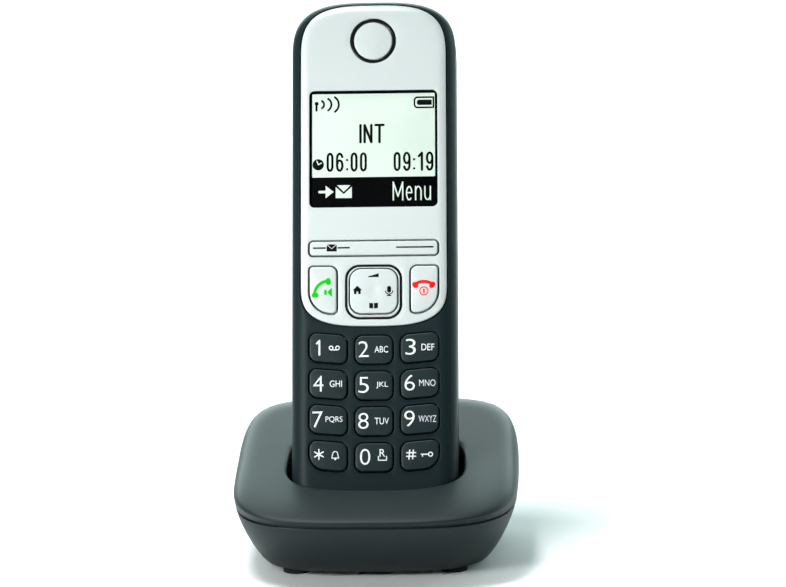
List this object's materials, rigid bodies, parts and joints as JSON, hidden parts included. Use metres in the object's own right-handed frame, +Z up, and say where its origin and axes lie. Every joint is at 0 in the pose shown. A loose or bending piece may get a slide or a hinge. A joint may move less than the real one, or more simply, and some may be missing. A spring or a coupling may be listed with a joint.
{
  "type": "cordless_telephone",
  "caption": "Cordless telephone handset with a silver faceplate and a pale display, leaning back in a dark charging base with a rounded pillow shape",
  "frame": {"origin": "on the floor under the middle of the set's bounding box, handset in its cradle", "axes": "+Z up, -Y towards the user, +X to the right seen from the user"},
  "size_m": [0.0842, 0.0996, 0.1583],
  "materials": {
    "casing": "fine spark-eroded grain, satin",
    "faceplate": "satin silver lacquer",
    "keys": "smooth satin",
    "silver_keys": "satin silver lacquer",
    "window": "clear gloss",
    "black_trim": "semi gloss",
    "feet": "matt",
    "contacts": "gold plated",
    "metal": "plain tinned",
    "board": "solder resist",
    "keymat": "silicone",
    "cells": "shrink sleeve"
  },
  "bodies": {
    "base": {"base_top_shell": "casing", "base_bottom_shell": "casing", "cradle_insert": "black_trim", "base_board": "board", "base_rf_shield": "metal", "base_antenna": "contacts", "line_jack": "black_trim", "power_jack": "black_trim", "paging_switch": "metal", "base_feet": "feet", "base_screws": "metal"},
    "handset": {"handset_front_shell": "casing", "handset_rear_shell": "casing", "faceplate": "faceplate", "display_window": "window", "lcd_module": "metal", "earpiece_ring": "black_trim", "earpiece_cap": "faceplate", "earpiece_speaker": "metal", "handset_board": "board", "keymat": "keymat", "handset_rf_shield": "metal", "handset_antenna": "contacts", "microphone": "metal", "ringer_speaker": "metal", "battery_cell_left": "cells", "battery_cell_right": "cells", "battery_contacts": "metal", "handset_charge_pads": "contacts", "handset_screws": "metal", "nav_bezel": "silver_keys"},
    "key_1": {"key_1": "keys"},
    "key_2": {"key_2": "keys"},
    "key_3": {"key_3": "keys"},
    "key_4": {"key_4": "keys"},
    "key_5": {"key_5": "keys"},
    "key_6": {"key_6": "keys"},
    "key_7": {"key_7": "keys"},
    "key_8": {"key_8": "keys"},
    "key_9": {"key_9": "keys"},
    "key_star": {"key_star": "keys"},
    "key_0": {"key_0": "keys"},
    "key_hash": {"key_hash": "keys"},
    "talk_key": {"talk_key": "silver_keys"},
    "end_key": {"end_key": "silver_keys"},
    "softkey_bar": {"softkey_bar": "silver_keys"},
    "nav_pivot": {"nav_pivot": "black_trim"},
    "nav_key": {"nav_key": "silver_keys"},
    "battery_door": {"battery_door": "casing"},
    "charge_contact_left": {"charge_contact_left": "contacts"},
    "charge_contact_right": {"charge_contact_right": "contacts"},
    "paging_key": {"paging_key": "black_trim"}
  },
  "joints": [
    {"name": "handset_lift", "type": "slide", "parent": "base", "child": "handset", "axis": [0, 0.3907, 0.9205], "range_m": [0, 0.06]},
    {"name": "key_1_press", "type": "slide", "parent": "handset", "child": "key_1", "axis": [0, 0.9205, -0.3907], "range_m": [0, 0.0008], "stiffness_N_per_m": 150, "springref_m": -0.001},
    {"name": "key_2_press", "type": "slide", "parent": "handset", "child": "key_2", "axis": [0, 0.9205, -0.3907], "range_m": [0, 0.0008], "stiffness_N_per_m": 150, "springref_m": -0.001},
    {"name": "key_3_press", "type": "slide", "parent": "handset", "child": "key_3", "axis": [0, 0.9205, -0.3907], "range_m": [0, 0.0008], "stiffness_N_per_m": 150, "springref_m": -0.001},
    {"name": "key_4_press", "type": "slide", "parent": "handset", "child": "key_4", "axis": [0, 0.9205, -0.3907], "range_m": [0, 0.0008], "stiffness_N_per_m": 150, "springref_m": -0.001},
    {"name": "key_5_press", "type": "slide", "parent": "handset", "child": "key_5", "axis": [0, 0.9205, -0.3907], "range_m": [0, 0.0008], "stiffness_N_per_m": 150, "springref_m": -0.001},
    {"name": "key_6_press", "type": "slide", "parent": "handset", "child": "key_6", "axis": [0, 0.9205, -0.3907], "range_m": [0, 0.0008], "stiffness_N_per_m": 150, "springref_m": -0.001},
    {"name": "key_7_press", "type": "slide", "parent": "handset", "child": "key_7", "axis": [0, 0.9205, -0.3907], "range_m": [0, 0.0008], "stiffness_N_per_m": 150, "springref_m": -0.001},
    {"name": "key_8_press", "type": "slide", "parent": "handset", "child": "key_8", "axis": [0, 0.9205, -0.3907], "range_m": [0, 0.0008], "stiffness_N_per_m": 150, "springref_m": -0.001},
    {"name": "key_9_press", "type": "slide", "parent": "handset", "child": "key_9", "axis": [0, 0.9205, -0.3907], "range_m": [0, 0.0008], "stiffness_N_per_m": 150, "springref_m": -0.001},
    {"name": "key_star_press", "type": "slide", "parent": "handset", "child": "key_star", "axis": [0, 0.9205, -0.3907], "range_m": [0, 0.0008], "stiffness_N_per_m": 150, "springref_m": -0.001},
    {"name": "key_0_press", "type": "slide", "parent": "handset", "child": "key_0", "axis": [0, 0.9205, -0.3907], "range_m": [0, 0.0008], "stiffness_N_per_m": 150, "springref_m": -0.001},
    {"name": "key_hash_press", "type": "slide", "parent": "handset", "child": "key_hash", "axis": [0, 0.9205, -0.3907], "range_m": [0, 0.0008], "stiffness_N_per_m": 150, "springref_m": -0.001},
    {"name": "talk_key_press", "type": "slide", "parent": "handset", "child": "talk_key", "axis": [0, 0.9205, -0.3907], "range_m": [0, 0.0008], "stiffness_N_per_m": 150, "springref_m": -0.001},
    {"name": "end_key_press", "type": "slide", "parent": "handset", "child": "end_key", "axis": [0, 0.9205, -0.3907], "range_m": [0, 0.0008], "stiffness_N_per_m": 150, "springref_m": -0.001},
    {"name": "softkey_rock", "type": "hinge", "parent": "handset", "child": "softkey_bar", "pos_m": [0, 0.00462, 0.08854], "axis": [0, 0.3907, 0.9205], "range_deg": [-2, 2], "stiffness_Nm_per_rad": 0.02},
    {"name": "nav_up_down", "type": "hinge", "parent": "handset", "child": "nav_pivot", "pos_m": [0, 0.00091, 0.07621], "axis": [1, 0, 0], "range_deg": [-3, 3], "stiffness_Nm_per_rad": 0.02},
    {"name": "nav_left_right", "type": "hinge", "parent": "nav_pivot", "child": "nav_key", "pos_m": [0, -0.00019, 0.07667], "axis": [0, 0.3907, 0.9205], "range_deg": [-3, 3], "stiffness_Nm_per_rad": 0.02},
    {"name": "battery_door_open", "type": "hinge", "parent": "handset", "child": "battery_door", "pos_m": [0, 0.00474, 0.03455], "axis": [-1, 0, 0], "range_deg": [0, 35]},
    {"name": "charge_contact_left_press", "type": "slide", "parent": "base", "child": "charge_contact_left", "axis": [0, -0.3907, -0.9205], "range_m": [0, 0.001], "stiffness_N_per_m": 150, "springref_m": -0.0005},
    {"name": "charge_contact_right_press", "type": "slide", "parent": "base", "child": "charge_contact_right", "axis": [0, -0.3907, -0.9205], "range_m": [0, 0.001], "stiffness_N_per_m": 150, "springref_m": -0.0005},
    {"name": "paging_key_press", "type": "slide", "parent": "base", "child": "paging_key", "axis": [0, 0, 1], "range_m": [0, 0.001], "stiffness_N_per_m": 150, "springref_m": -0.001}
  ]
}
